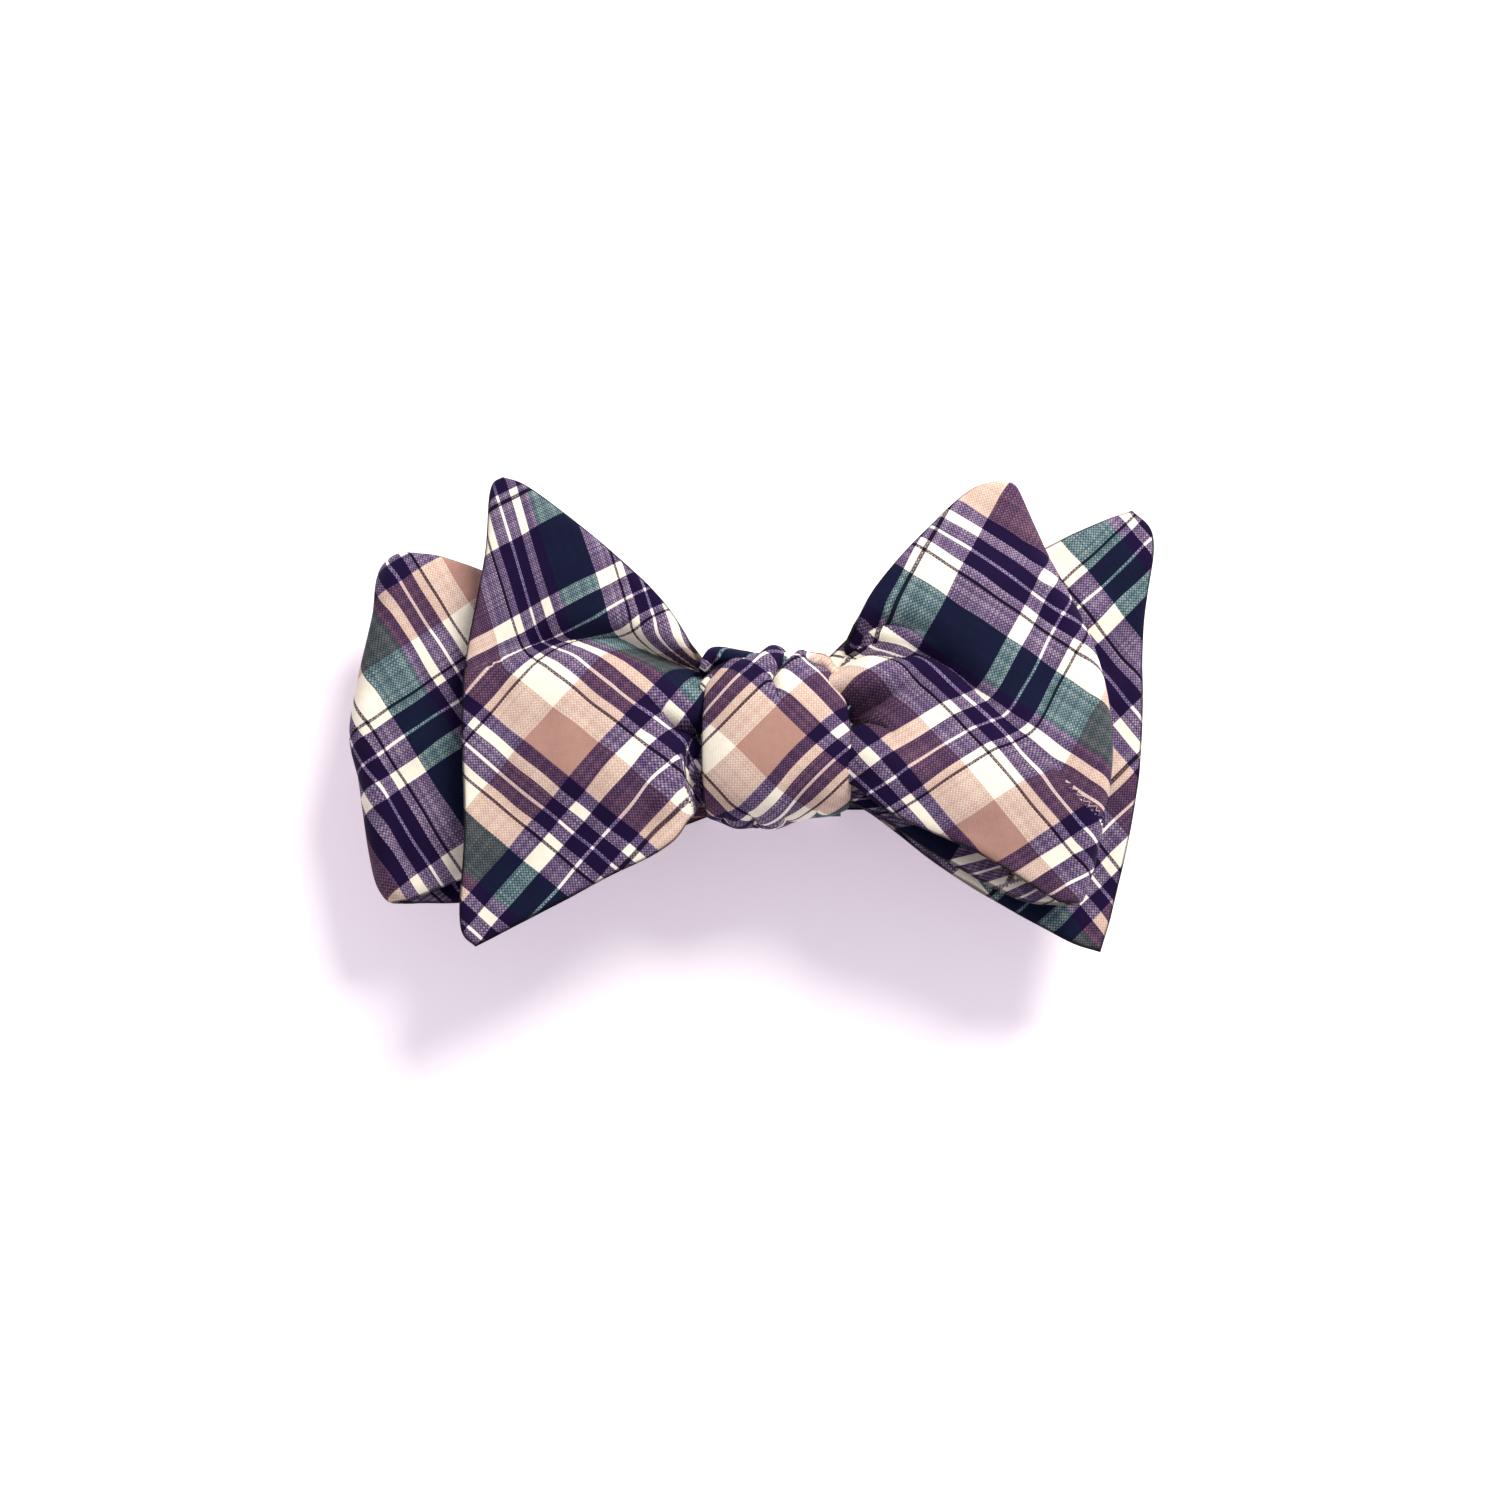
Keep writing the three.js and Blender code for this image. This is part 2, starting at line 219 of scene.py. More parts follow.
def tape_material():
    material, nodes, shader = new_material("label_tape")
    place = nodes.add("ShaderNodeUVMap", uv_map="UVMap").outputs[0]
    rib = nodes.add("ShaderNodeTexWave", {"Vector": place, "Scale": 900.0}, bands_direction="Y")
    tone = nodes.mix(rib.outputs[1], (0.80, 0.78, 0.72, 1), (0.90, 0.88, 0.83, 1))
    bump = nodes.add("ShaderNodeBump", {"Strength": 0.4, "Distance": 0.0001, "Height": rib.outputs[1]})
    nodes.tree.links.new(tone, shader.inputs["Base Color"])
    nodes.tree.links.new(bump.outputs[0], shader.inputs["Normal"])
    shader.inputs["Roughness"].default_value = 0.8
    return material


# ---------------------------------------------------------------- curves and surfaces

def smooth_curve(points, t):
    """Points of a smooth curve through the given ones, at shares t of its length."""
    points = np.array(points, float)
    steps = np.linalg.norm(np.diff(points, axis=0), axis=1) ** 0.5
    knots = np.concatenate([[0], np.cumsum(steps)])
    padded = np.vstack([2 * points[0] - points[1], points, 2 * points[-1] - points[-2]])
    times = np.concatenate([[-steps[0]], knots, [knots[-1] + steps[-1]]])
    fine = np.linspace(0, knots[-1], 400)
    k = np.clip(np.searchsorted(knots, fine, side="right") - 1, 0, len(steps) - 1)
    t0, t1, t2, t3 = (times[k + i][:, None] for i in range(4))
    p0, p1, p2, p3 = (padded[k + i] for i in range(4))
    x = fine[:, None]
    a1 = (t1 - x) / (t1 - t0) * p0 + (x - t0) / (t1 - t0) * p1
    a2 = (t2 - x) / (t2 - t1) * p1 + (x - t1) / (t2 - t1) * p2
    a3 = (t3 - x) / (t3 - t2) * p2 + (x - t2) / (t3 - t2) * p3
    b1 = (t2 - x) / (t2 - t0) * a1 + (x - t0) / (t2 - t0) * a2
    b2 = (t3 - x) / (t3 - t1) * a2 + (x - t1) / (t3 - t1) * a3
    curve = (t2 - x) / (t2 - t1) * b1 + (x - t1) / (t2 - t1) * b2
    length = np.concatenate([[0], np.cumsum(np.linalg.norm(np.diff(curve, axis=0), axis=1))])
    length /= length[-1]
    return np.stack([np.interp(t, length, curve[:, i]) for i in range(curve.shape[1])], axis=-1)


def profile(points, x):
    """A smooth curve through points, read at x."""
    curve = smooth_curve(points, np.linspace(0, 1, 200))
    return np.interp(x, curve[:, 0], curve[:, 1])


def patch(lower, upper, edge, u, v):
    """A smooth sheet between four curves: lower and upper run out from the knot, edge runs from the
    lower tip to the upper one, and a straight line closes it at the knot."""
    low = smooth_curve(lower, u)[:, None, :]
    high = smooth_curve(upper, u)[:, None, :]
    out = smooth_curve(edge, v)[None, :, :]
    near = (1 - v)[:, None] * np.array(lower[0]) + v[:, None] * np.array(upper[0])
    near = near[None, :, :]
    uu = u[:, None, None]
    vv = v[None, :, None]
    corners = ((1 - uu) * (1 - vv) * np.array(lower[0]) + (1 - uu) * vv * np.array(upper[0])
               + uu * (1 - vv) * np.array(edge[0]) + uu * vv * np.array(edge[-1]))
    return (1 - vv) * low + vv * high + (1 - uu) * near + uu * out - corners


def spaced(count, ends=0.5):
    """Shares from 0 to 1, closer together towards both ends."""
    even = np.linspace(0, 1, count)
    return (1 - ends) * even + ends * (1 - np.cos(math.pi * even)) / 2


def ramp(x, start, end):
    """0 before start, 1 after end and smooth between."""
    t = np.clip((x - start) / (end - start), 0, 1)
    return t * t * (3 - 2 * t)


def spread(values, shape):
    """The same values, repeated over a whole grid."""
    return np.broadcast_to(values, shape).copy()


def beside(x, y, path):
    """Where each point lies by a path: its distance, positive on the left, and the nearest place."""
    line = smooth_curve(path, np.linspace(0, 1, 60))
    gap = np.stack([x[..., None] - line[:, 0], y[..., None] - line[:, 1]], axis=-1)
    distance = np.linalg.norm(gap, axis=-1)
    nearest = np.argmin(distance, axis=-1)
    tangent = np.gradient(line, axis=0)
    across = np.take_along_axis(gap, nearest[..., None, None], axis=-2)[..., 0, :]
    side = tangent[nearest][..., 0] * across[..., 1] - tangent[nearest][..., 1] * across[..., 0]
    return np.min(distance, axis=-1) * np.sign(side), nearest


def fold(x, y, path, depths, width, shift=0.0):
    """Height of one fold: it follows a path, with a depth at each of its points. A positive depth is
    a ridge, a negative one a valley, and shift makes one flank steeper."""
    depth = np.interp(np.linspace(0, 1, 60), np.linspace(0, 1, len(depths)), depths)
    distance, nearest = beside(x, y, path)
    d = distance / width
    spread = np.where(d > 0, 1 + shift, 1 - shift)
    return depth[nearest] * np.exp(-((d / spread) ** 2))


def drop(x, y, path, depths, width):
    """Height of a step down on the right of a path, over a width on both sides of it."""
    depth = np.interp(np.linspace(0, 1, 60), np.linspace(0, 1, len(depths)), depths)
    distance, nearest = beside(x, y, path)
    return depth[nearest] * ramp(-distance, -width, width)


class Weave:
    """The plaid laid straight on a piece: p, q lies at a place x, y, and one millimetre more of p or
    of q is a step of along_p or along_q in x and y."""

    def __init__(self, place, p, q, along_p, along_q):
        self.place = np.array(place)
        self.start = np.array([p, q])
        self.per_step = np.linalg.inv(np.array([along_p, along_q]))

    def at(self, points):
        """p and q in millimetres."""
        return self.start + (points - self.place) @ self.per_step


class Plaid:
    """A piece's plaid: one straight weave, or another on the left of a crease, where the cloth is
    turned. A tuck is a path, how much p and q skip on its right, and its width."""

    def __init__(self, main, turned=None, crease=None, width=1.0, tucks=()):
        self.main = main
        self.turned = turned
        self.crease = crease
        self.width = width
        self.tucks = tucks

    def at(self, points):
        """p and q in metres."""
        places = self.main.at(points)
        if self.turned:
            distance, _ = beside(points[..., 0], points[..., 1], self.crease)
            share = ramp(distance, -self.width, self.width)[..., None]
            places = (1 - share) * places + share * self.turned.at(points)
        for path, skipped, width in self.tucks:
            distance, _ = beside(points[..., 0], points[..., 1], path)
            places = places + ramp(-distance, -width, width)[..., None] * np.array(skipped)
        return places * MM


# ---------------------------------------------------------------- meshes

def sheet_mesh(name, middle, half, uv, from_edge, wrap=False):
    """A closed sheet: middle is a grid of points in millimetres, half its half thickness there, uv
    the plaid's p and q in metres and from_edge the distance from a sewn edge in millimetres."""
    rows, columns = middle.shape[:2]
    if wrap:
        along_rows = np.roll(middle, -1, axis=0) - np.roll(middle, 1, axis=0)
    else:
        along_rows = np.gradient(middle, axis=0)
    normal = np.cross(along_rows, np.gradient(middle, axis=1))
    normal /= np.linalg.norm(normal, axis=-1, keepdims=True) + 1e-12
    front = middle + normal * half[..., None]
    back = middle - normal * half[..., None]
    points = np.concatenate([front.reshape(-1, 3), back.reshape(-1, 3)])
    points = (points + ORIGIN) * MM
    at = np.arange(rows * columns).reshape(rows, columns)
    under = at + rows * columns
    down = np.roll(at, -1, axis=0)
    down_under = down + rows * columns
    last = rows if wrap else rows - 1
    i = slice(0, last)
    faces = [np.stack([at[i, :-1], down[i, :-1], down[i, 1:], at[i, 1:]], axis=-1).reshape(-1, 4),
             np.stack([under[i, :-1], under[i, 1:], down_under[i, 1:], down_under[i, :-1]],
                      axis=-1).reshape(-1, 4),
             np.stack([at[i, 0], under[i, 0], down_under[i, 0], down[i, 0]], axis=-1),
             np.stack([at[i, -1], down[i, -1], down_under[i, -1], under[i, -1]], axis=-1)]
    if not wrap:
        faces.append(np.stack([at[0, :-1], at[0, 1:], under[0, 1:], under[0, :-1]], axis=-1))
        faces.append(np.stack([at[-1, :-1], under[-1, :-1], under[-1, 1:], at[-1, 1:]], axis=-1))
    faces = np.concatenate(faces)
    mesh = bpy.data.meshes.new(name)
    mesh.from_pydata(points.tolist(), [], faces.tolist())
    axes = (1,) if wrap else (0, 1)
    both = [round_the_edge(uv, middle, skin, axes).reshape(-1, 2) for skin in (front, back)]
    both = np.concatenate(both)
    corners = np.empty(len(mesh.loops), dtype=np.int32)
    mesh.loops.foreach_get("vertex_index", corners)
    layer = mesh.uv_layers.new(name="UVMap")
    layer.data.foreach_set("uv", both[corners].astype(np.float32).ravel())
    seam_shade = np.dstack([from_edge, np.zeros_like(from_edge)]).reshape(-1, 2)
    seam_layer = mesh.uv_layers.new(name="Seam")
    seam_layer.data.foreach_set("uv", np.concatenate([seam_shade, seam_shade])[corners].astype(np.float32).ravel())
    mesh.polygons.foreach_set("use_smooth", [True] * len(mesh.polygons))
    mesh.update()
    made = bpy.data.objects.new(name, mesh)
    bpy.context.scene.collection.objects.link(made)
    return made


def round_the_edge(uv, middle, skin, axes):
    """The plaid runs round a rolled edge at its own size, where the flat grid would stretch it."""
    for axis in axes:
        flat = np.linalg.norm(np.diff(middle, axis=axis), axis=-1, keepdims=True) + 1e-9
        rolled = np.linalg.norm(np.diff(skin, axis=axis), axis=-1, keepdims=True)
        gone = np.cumsum(flat, axis=axis)
        left = np.take(gone, [-1], axis=axis) - gone + flat
        near = (gone < EDGE_ROLL) | (left < EDGE_ROLL)
        step = np.diff(uv, axis=axis) * np.clip(rolled / flat - 1, 0, 12) * near
        first, last = np.split(step, [step.shape[axis] // 2], axis=axis)
        inward = -np.flip(np.cumsum(np.flip(first, axis), axis=axis), axis)
        still = np.zeros_like(np.take(uv, [0], axis=axis))
        uv = uv + np.concatenate([inward, still, np.cumsum(last, axis=axis)], axis=axis)
    return uv


def rounded(distance, radius, thick, thin):
    """Half thickness that falls from thick to thin over the last stretch before an edge."""
    t = np.clip(distance / radius, 0, 1)
    return thin + (thick - thin) * np.sqrt(1 - (1 - t) ** 2)


def ripples(x, y, strength):
    """Faint unevenness of handled cloth."""
    wave = (np.sin(0.31 * x + 0.23 * y + 1.0) * np.sin(0.17 * x - 0.29 * y)
            + 0.5 * np.sin(0.62 * x - 0.41 * y + 2.0) * np.sin(0.37 * x + 0.53 * y + 0.7))
    return strength * wave


def edge_distance(grid, open_rows=False):
    """How far each point of a grid is from its long edges, and from its last row too, in millimetres."""
    across = np.linalg.norm(np.diff(grid, axis=1), axis=-1)
    from_low = np.concatenate([np.zeros((len(grid), 1)), np.cumsum(across, axis=1)], axis=1)
    nearest = np.minimum(from_low, from_low[:, -1:] - from_low)
    if open_rows:
        return nearest
    outward = np.linalg.norm(np.diff(grid, axis=0), axis=-1)
    from_knot = np.concatenate([np.zeros((1, grid.shape[1])), np.cumsum(outward, axis=0)], axis=0)
    return np.minimum(nearest, from_knot[-1:] - from_knot)


def flat_wing(name, shape, height, plaid):
    """A wing that ends in a sewn edge."""
    u = spaced(100, 0.35)
    v = spaced(120, 0.5)
    plan = patch(shape["lower"], shape["upper"], shape["edge"], u, v)
    x, y = plan[..., 0], plan[..., 1]
    middle = np.dstack([x, y, height(x, y, u[:, None], v[None, :])])
    from_edge = edge_distance(plan)
    half = rounded(from_edge, EDGE_ROLL, CLOTH_HALF, EDGE_HALF)
    return sheet_mesh(name, middle, half, plaid.at(plan), from_edge)


def loop_wing(name, shape, height, rear_height, plaid):
    """A wing whose cloth folds back to the knot: front panel, fold and rear panel in one sheet."""
    u = spaced(90, 0.3)
    v = spaced(120, 0.5)
    turn_radius = shape["turn"]
    side = shape["side"]
    plan = patch(shape["lower"], shape["upper"], shape["edge"], u, v)
    plan[..., 0] -= side * turn_radius * ramp(u, 0.3, 1.0)[:, None]
    x, y = plan[..., 0], plan[..., 1]
    front = np.dstack([x, y, height(x, y, u[:, None], v[None, :])])

    back_u = u[::-1]
    behind = patch(shape["rear_lower"], shape["rear_upper"], shape["edge"], back_u, v)
    behind[..., 0] -= side * turn_radius * ramp(back_u, 0.3, 1.0)[:, None]
    bx, by = behind[..., 0], behind[..., 1]
    rear = np.dstack([bx, by, rear_height(bx, by, back_u[:, None], v[None, :])])

    angles = np.linspace(0, math.pi, 18)[1:-1]
    start, end = front[-1], rear[0]
    centre = (start + end) / 2
    radius = (start[:, 2] - end[:, 2]) / 2
    turn = []
    for angle in angles:
        row = centre.copy()
        row[:, 0] += side * turn_radius * math.sin(angle)
        row[:, 2] += radius * math.cos(angle)
        turn.append(row)
    middle = np.concatenate([front, np.array(turn), rear])

    step = np.linalg.norm(np.diff(middle[len(front) - 1:], axis=0), axis=-1)
    past = np.cumsum(step, axis=0)
    cloth = middle[..., :2].copy()
    cloth[len(front):, :, 0] = front[-1, :, 0] + side * past
    from_edge = edge_distance(middle, open_rows=True)
    half = rounded(from_edge, EDGE_ROLL, CLOTH_HALF, EDGE_HALF)
    return sheet_mesh(name, middle, half, plaid.at(cloth), from_edge)


# ---------------------------------------------------------------- the wings

# Outlines and weaves are in millimetres from the middle of the knot. They are rounded from positions
# read off the photograph that a helper program turned into millimetres.

def make_left_front(material):
    shape = {
        "lower": [(-5, -7), (-11, -9.5), (-15.5, -16), (-26.5, -22), (-38, -28), (-45, -31.5)],
        "upper": [(-5, 9), (-11, 12.5), (-17.5, 21.5), (-30, 33), (-39, 40), (-42, 41)],
        "edge": [(-45, -31.5), (-47, -29.5), (-47, -14), (-47.5, 9), (-44.5, 29), (-43.5, 40), (-42, 41)],
    }

    crease = [(-9, -16), (-12, -13), (-13.8, -9.2), (-14.6, -5.1), (-14.2, -1.5), (-12.5, 0.5), (-10, 1)]

    def height(x, y, u, v):
        z = 25.4 + 2.2 * ramp(u, 0, 0.35) - 1.6 * ramp(u, 0.6, 1.0)
        z = z + 3.0 * np.exp(-(((x + 23) / 11) ** 2 + ((y + 5) / 11) ** 2))
        z = z + fold(x, y, [(-7, 10.4), (-11.4, 11.2), (-17.3, 13), (-23.3, 15.6), (-29.3, 15.6),
                            (-36, 14.6),
                            (-41, 12)], [-5.4, -5.0, -4.2, -3.2, -2.6, -1.4, 0], 2.9, 0.4)
        z = z + fold(x, y, [(-8, 6.5), (-13, 7.4), (-18, 8.6), (-24, 8.5)], [2.2, 2.0, 1.0, 0], 3.0)
        z = z + fold(x, y, [(-7, 1.2), (-11, 1.6), (-14.8, 1.5), (-17.5, 3.8), (-20, 5.5)],
                     [-4.4, -4.2, -3.2, -1.2, 0], 1.5, 0.3)
        z = z + drop(x, y, crease, [-3.4, -3.6, -3.8, -3.6, -2.6, -1.6, -1.0], 1.0)
        z = z + fold(x, y, [(-8, -3.2), (-11, -3.8), (-14, -5.4)], [1.5, 1.4, 0.6], 0.9, 0.3)
        z = z + fold(x, y, [(-8, -7.4), (-11, -7.6), (-13.5, -8.6)], [1.3, 1.2, 0.5], 1.0, 0.3)
        z = z + fold(x, y, [(-16.6, -9), (-17.2, -4), (-19, 0)], [1.2, 1.0, 0], 2.6)
        z = z + fold(x, y, [(-20, 20), (-30, 24), (-40, 27)], [0, 0.9, 0.5], 5.0)
        return z + ripples(x, y, 0.25)

    lower = Weave((-36, 11.5), 31, 0, (0.67, 0.76), (0.88, -0.73))
    upper = Weave((-34.5, 20), 38, -9, (0.75, 0.4), (0.31, -0.98))
    turn = [(-41, 12), (-29, 15.5), (-17, 13), (-7, 10.5)]
    plaid = Plaid(lower, upper, turn, 3.5, [(crease, (0.5, -7.5), 0.4)])
    piece = flat_wing("left_front_wing_cloth", shape, height, plaid)
    piece.data.materials.append(material)
    return piece


def make_right_front(material):
    shape = {
        "side": 1,
        "turn": 2.6,
        "lower": [(5, -7), (10.5, -7), (17, -12), (33, -18.5), (45, -25)],
        "upper": [(5, 10), (9.5, 13), (15, 22.5), (25, 32.5), (33, 39), (36, 40)],
        "rear_lower": [(5, -8), (10.5, -9), (26, -18), (40, -24.5), (45, -25)],
        "rear_upper": [(5, 10), (15, 20), (25, 30), (36, 40)],
        "edge": [(45, -25), (47.5, -17), (50, 0), (47.5, 14), (41, 28), (36, 40)],
    }

    def height(x, y, u, v):
        z = 26.0 + 4.0 * ramp(u, 0, 0.3) - 1.0 * ramp(u, 0.75, 1.0)
        z = z - 2.2 * np.abs(2 * v - 1) ** 3 * ramp(u, 0.3, 0.9)
        z = z + 2.2 * np.exp(-(((x - 26) / 11) ** 2 + ((y + 6) / 8) ** 2))
        z = z + 1.4 * np.exp(-(((x - 26) / 9) ** 2 + ((y - 23) / 7) ** 2))
        z = z + fold(x, y, [(7, 12.6), (11.2, 13.8), (13.2, 15.8), (16.2, 16.9), (19.9, 16.6), (24, 15.2),
                            (27, 13.4)],
                     [-3.2, -3.0, -2.6, -2.0, -1.4, -0.8, 0], 1.3, 0.3)
        z = z + fold(x, y, [(12, 13), (16, 14.6), (19.5, 14.6), (23, 13.2), (27, 11)],
                     [-0.6, -1.0, -1.2, -0.8, 0], 1.5)
        z = z + fold(x, y, [(8, 11.6), (11.5, 12.9), (14.5, 14.6), (17.5, 14.9)], [-1.8, -1.6, -1.0, 0],
                     0.6, 0.3)
        z = z + fold(x, y, [(7, 9.8), (11, 11.2), (14, 12.2), (18.6, 11.7), (22, 12), (27, 9.5), (32, 4),
                            (37, -2)],
                     [-3.6, -3.2, -2.8, -2.3, -2.0, -1.5, -0.9, 0], 1.8, 0.35)
        z = z + fold(x, y, [(8, 4.2), (11.5, 3.8), (15, 4.6), (19, 6.4), (23, 7)],
                     [-4.4, -4.0, -2.6, -1.2, 0],
                     2.4, -0.2)
        z = z + fold(x, y, [(8, 2.8), (11, 2.4), (13.8, 2.2), (16.3, 1.0), (18.5, -1)],
                     [-2.6, -2.4, -1.6, -0.8, 0],
                     0.9, -0.3)
        z = z + fold(x, y, [(8, 7.6), (12, 8), (16, 8.6), (20, 9)], [2.0, 1.7, 1.0, 0], 1.7)
        z = z + fold(x, y, [(9, -2.5), (13, -3.5), (19, -6)], [1.0, 1.0, 0.4], 2.6)
        return z + ripples(x, y, 0.22)

    def rear_height(x, y, u, v):
        return 24.0 - 0.8 * ramp(u, 0, 0.4) + 0.5 * np.abs(2 * v - 1) ** 3 + ripples(x, y, 0.2)

    lower = Weave((31.5, -3.5), 31, 0, (0.85, 0.54), (0.67, -0.76))
    upper = Weave((37, 18.5), 52, -10, (0.49, 0.92), (0.85, -0.58))
    # This line stops inside the wing, which leaves a few ragged specks near the outer edge.
    turn = [(7, 10), (14, 12), (22, 12), (32, 4), (40, -4)]
    plaid = Plaid(lower, upper, turn, 5)
    piece = loop_wing("right_front_wing_cloth", shape, height, rear_height, plaid)
    piece.data.materials.append(material)
    return piece


def make_left_back(material):
    shape = {
        "side": -1,
        "turn": 2.6,
        "lower": [(-5, -7), (-22, -12), (-47.5, -19.5), (-58.5, -23.5)],
        "upper": [(-5, 8), (-24, 19), (-46.5, 27.5), (-55, 30.5), (-58.5, 31)],
        "rear_lower": [(-5, -8), (-24, -15), (-48, -23), (-58.5, -23.5)],
        "rear_upper": [(-5, 8), (-24, 18), (-46.5, 27), (-58.5, 31)],
        "edge": [(-58.5, -23.5), (-60.5, -20.5), (-63.5, -4.5), (-65, 2.5), (-62, 21), (-61, 28.5),
                 (-58.5, 31)],
    }

    def height(x, y, u, v):
        z = 18.5 + 1.8 * ramp(u, 0, 0.3) - 0.8 * ramp(u, 0.8, 1.0)
        return z - 1.8 * np.abs(2 * v - 1) ** 3 * ramp(u, 0.3, 0.9) + ripples(x, y, 0.3)

    def rear_height(x, y, u, v):
        return 13.6 - 0.3 * ramp(u, 0, 0.5) + ripples(x, y, 0.2)

    plaid = Plaid(Weave((-50, 20), 31, 5.5, (-0.78, -0.53), (-0.62, 0.96)))
    piece = loop_wing("left_back_wing_cloth", shape, height, rear_height, plaid)
    piece.data.materials.append(material)
    return piece


def make_right_back(material):
    shape = {
        "lower": [(5, -7), (11.5, -8.5), (28, -20.5), (45, -30), (49.5, -31.5)],
        "upper": [(5, 9), (26, 23), (51, 36), (56, 38)],
        "edge": [(49.5, -31.5), (51.5, -25), (56, -4.5), (57.5, 20), (59, 34.5), (56, 38)],
    }

    def height(x, y, u, v):
        z = 17.6 + 1.2 * ramp(u, 0, 0.3) - 1.2 * ramp(u, 0.7, 1.0)
        z = z + fold(x, y, [(20, 3), (38, 10), (56, 16)], [0, -1.0, -1.2], 6.0)
        return z + ripples(x, y, 0.3)

    plaid = Plaid(Weave((47.5, 29), 7, 0, (-0.8, -0.75), (-0.66, 0.8)))
    piece = flat_wing("right_back_wing_cloth", shape, height, plaid)
    piece.data.materials.append(material)
    return piece


# ---------------------------------------------------------------- the knot

def make_knot(material):
    """One turn of cloth round the middle of the bow, pulled in at the top and bottom."""
    rows, columns = 200, 72
    angle = np.linspace(0, 2 * math.pi, rows, endpoint=False)[:, None]
    across = spaced(columns, 0.6)[None, :] * 2 - 1
    top = profile([(-1.05, 10.0), (-0.8, 12.2), (-0.4, 13.4), (0.1, 13.3), (0.5, 13.3), (0.8, 12.0),
                   (1.05, 9.8)], across)
    bottom = profile([(-1.05, 11.9), (-0.8, 13.1), (-0.45, 14.1), (-0.15, 14.2), (0.2, 13.0), (0.6, 12.0),
                      (1.05, 10.4)], across)
    power = 2.6
    cos, sin = np.cos(angle), np.sin(angle)
    level = (np.abs(cos) ** power + np.abs(sin) ** power) ** (-1 / power)
    deep = KNOT_HALF[2] - 0.7
    undercut = np.where(sin > 0, 1, 1 - 0.13 * (1 - cos))
    y = np.where(sin > 0, top, bottom) * level * sin * undercut
    z = KNOT_MIDDLE[2] + deep * level * cos * (1 - 0.24 * np.abs(across) ** 3)

    left_edge = profile([(-14.5, -8.5), (-12.5, -10), (-5, -11), (10.5, -10), (14.5, -8)], y)
    right_edge = profile([(-14.5, 10), (-11, 11), (1.5, 11), (10, 9), (14.5, 7)], y)
    x = (left_edge + right_edge) / 2 + across * (right_edge - left_edge) / 2
    mid = columns // 2
    lengths = np.cumsum(np.hypot(np.diff(y[:, mid], append=y[:1, mid]),
                                 np.diff(z[:, mid], append=z[:1, mid])))
    around = np.concatenate([[0], lengths[:-1]])[:, None]
    t = spread(np.where(around > lengths[-1] / 2, around - lengths[-1], around), x.shape)

    dent = fold(x, t, [(1.9, 19), (1.6, 15.2), (0.2, 12.2), (-0.8, 9.6), (-0.2, 6.8), (0.5, 4)],
                [-3.2, -3.1, -2.7, -2.2, -1.2, 0], 0.85, 0.5)
    dent = dent + fold(x, t, [(0.2, 19), (-0.8, 15), (-2.0, 12), (-3.4, 9.6)], [1.2, 1.2, 0.9, 0], 1.1)
    dent = dent + fold(x, t, [(4.4, 19), (3.6, 15), (3.0, 12.5), (2.6, 10)], [0.8, 0.9, 0.6, 0], 1.1)
    dent = dent + fold(x, t, [(-6.5, 20), (-5.4, 16.5), (-4.8, 13.5), (-4.6, 11.5)],
                       [-1.4, -1.2, -0.6, 0], 1.0)
    dent = dent + fold(x, t, [(6.6, 20), (6.0, 16.5), (6.4, 14), (7.2, 12)], [-1.3, -1.1, -0.6, 0], 0.9)
    dent = dent + fold(x, t, [(-3, -20), (-3, -15.5), (-4.2, -12), (-5.8, -9.5)], [-1.8, -1.5, -0.8, 0],
                       1.1, 0.3)
    dent = dent + fold(x, t, [(1.6, -20), (0.8, -16), (1.8, -13), (4.4, -10.5)], [-1.5, -1.3, -0.7, 0],
                       0.9, -0.3)
    dent = dent + fold(x, t, [(-8, -19), (-7.4, -14), (-8.6, -10)], [-1.0, -0.8, 0], 0.9)
    dent = dent + fold(x, t, [(6.5, -20), (6.2, -15.5), (8, -12.5)], [-1.2, -0.9, 0], 0.9)
    dent = dent + 0.16 * np.sin(0.9 * x + 0.5) * ramp(np.abs(t), 6, 14)
    outward = np.dstack([np.zeros_like(x), sin * np.ones_like(x), cos * np.ones_like(x)])
    middle = np.dstack([x, y, z]) + outward * dent[..., None]

    plaid = Plaid(Weave((-6, -2.5), 27, 5.5, (-0.68, 0.68), (0.74, 0.75)))
    uv = plaid.at(np.dstack([x, t]))
    from_edge = spread((1 - np.abs(across)) * KNOT_HALF[0], x.shape)
    half = rounded(from_edge, 1.0, 0.75, 0.3)
    piece = sheet_mesh("knot_cloth", middle, half, uv, from_edge, wrap=True)
    piece.data.materials.append(material)
    return piece


GATHERS_HALF_WIDTH = 11.2
GATHERS_HEIGHT = 28


